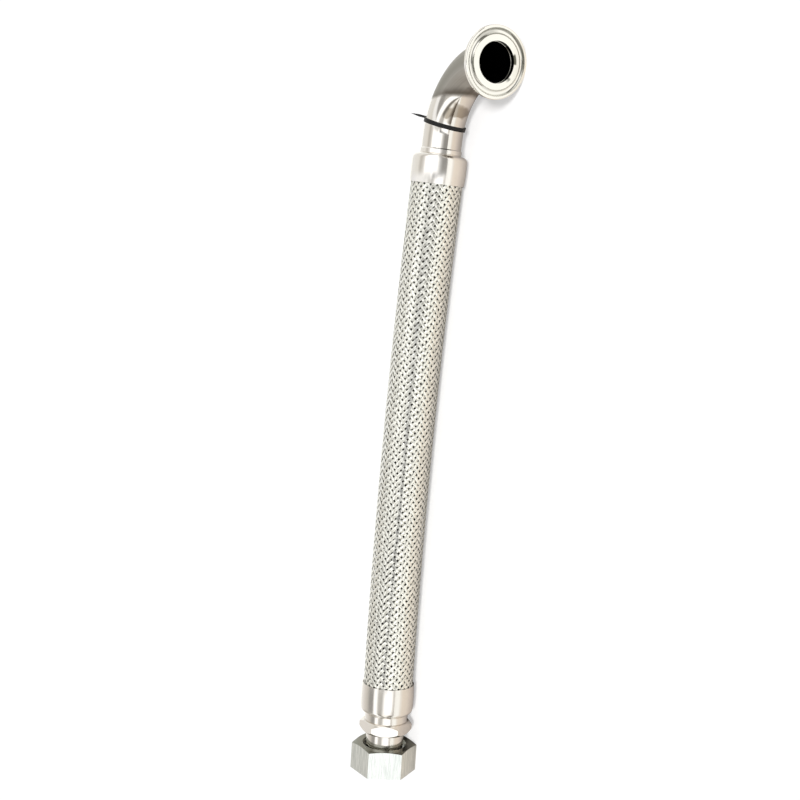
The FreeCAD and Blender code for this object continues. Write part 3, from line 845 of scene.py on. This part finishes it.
def build_floor():
    """Pale floor that shows white to the eye and keeps the hose's shadow."""
    half = FLOOR_HALF_WIDTH
    corners = [(-half, -half, 0), (half, -half, 0), (half, half, 0), (-half, half, 0)]
    mesh = bpy.data.meshes.new("floor")
    mesh.from_pydata(corners, [], [(0, 1, 2, 3)])
    floor = bpy.data.objects.new("floor", mesh)
    bpy.context.scene.collection.objects.link(floor)
    finish = Finish("floor_paper", roughness=1.0, specular_ior_level=0.0, emission_strength=PAPER_GLOW)
    camera = finish.ray("Is Camera Ray")
    distance = abs(finish.reach(finish.place(), ACROSS_THE_HOSE) - LINE_UNDER_HOSE)
    farthest = FLOOR_IN_METAL[-1][0]
    stops = [(place / farthest, colour) for place, colour in FLOOR_IN_METAL]
    # The floor in metal is darker near the line under the hose, as a painted shadow
    seen_in_metal = finish.ramp(distance / farthest, stops)
    paper = finish.mix(finish.ray("Is Glossy Ray"), PAPER, seen_in_metal)
    finish.set(
        base_color=finish.mix(camera, paper, PAPER_TO_THE_EYE),
        emission_color=finish.mix(camera, BLACK, WHITE),
    )
    mesh.materials.append(finish.material)


def build_lamp():
    """One wide, soft lamp overhead, which bright metal doesn't show."""
    light = bpy.data.lights.new("overhead", "SUN")
    light.angle = LAMP_SPREAD
    light.energy = LAMP_STRENGTH
    lamp = bpy.data.objects.new("overhead", light)
    bpy.context.scene.collection.objects.link(lamp)
    lamp.rotation_euler = (LAMP_TILT, 0, 0)
    lamp.visible_glossy = False


def build_camera():
    data = bpy.data.cameras.new("camera")
    data.sensor_width = SENSOR_WIDTH
    data.lens = LENS
    data.clip_start = NEAREST_SEEN
    data.clip_end = FARTHEST_SEEN
    camera = bpy.data.objects.new("camera", data)
    bpy.context.scene.collection.objects.link(camera)
    camera.location = CAMERA_PLACE
    camera.rotation_euler = [math.radians(angle) for angle in CAMERA_TURN]
    bpy.context.scene.camera = camera


# The hose

def dress(material, *names):
    """Gives solids of the part a finish, with smooth shading up to their edges."""
    for name in names:
        mesh = frame["nodes"][name].data
        mesh.shade_smooth()
        mesh.set_sharp_from_angle(angle=CREASE_ANGLE)
        mesh.materials.clear()
        mesh.materials.append(material)


def dress_fittings(nut_steel):
    """Finishes of the fittings. The bend's centre and foot follow from the ferrule's mounts."""
    ferrule_axis = Vector(mounts["ferrule_face"]["axis"])
    turn_axis = TOP_ALONG.cross(ferrule_axis).normalized()
    bore = Vector(mounts["ferrule_bore"]["pos_m"])
    face = Vector(mounts["ferrule_face"]["pos_m"])
    ferrule_centre = bore + ferrule_axis * (face - bore).dot(ferrule_axis)
    bend_centre = ferrule_centre - ferrule_axis * FERRULE_LENGTH - TOP_ALONG * ELBOW_RADIUS
    bend_foot = bend_centre - ferrule_axis * ELBOW_RADIUS

    lower_steel = polished_finish("lower_polished_steel", MOUTH, ALONG, POLISHED)
    upper_steel = polished_finish("upper_polished_steel", bend_foot, TOP_ALONG, PALE_POLISHED)
    dress(lower_steel, "tail_tube", "hex_adapter", "neck_ring", "bottom_braid_collar")
    dress(upper_steel, "top_braid_collar", "top_ring")
    dress(nut_steel, "union_nut")
    dress(elbow_finish(bend_centre, turn_axis), "elbow_tube")
    dress(ferrule_finish(ferrule_centre, ferrule_axis), "clamp_ferrule")
    dress(nylon_finish(), "cable_tie")


def add_sleeve(line):
    """The woven sleeve, in four pieces: two for each way that its strands wind."""
    wire = wire_finish()
    half = STRANDS_EACH_WAY // 2
    strands = []
    for hand, word in ((1, "right"), (-1, "left")):
        for first, letter in ((0, "a"), (half, "b")):
            name = f"braid_{word}_{letter}"
            seed = WEAVE_SEED + first + hand
            mesh = weave_mesh(name, line, hand, range(first, first + half), seed)
            piece = add_piece(name, mesh, wire, "hose")
            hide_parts("braid_sleeve")
            strands.append(piece)
    return strands


def main():
    bpy.context.scene.view_settings.view_transform = "Standard"
    nut_steel = nut_finish()
    dress_fittings(nut_steel)

    line = route_line(hose_route())
    strands = add_sleeve(line)
    bellows = add_piece("corrugations", bellows_mesh(line), bellows_finish(), "hose")
    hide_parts("corrugated_hose")
    add_piece("thread_ridge", thread_mesh(), nut_steel, "union_nut")

    build_world()
    build_floor()
    build_lamp()
    build_camera()


main()
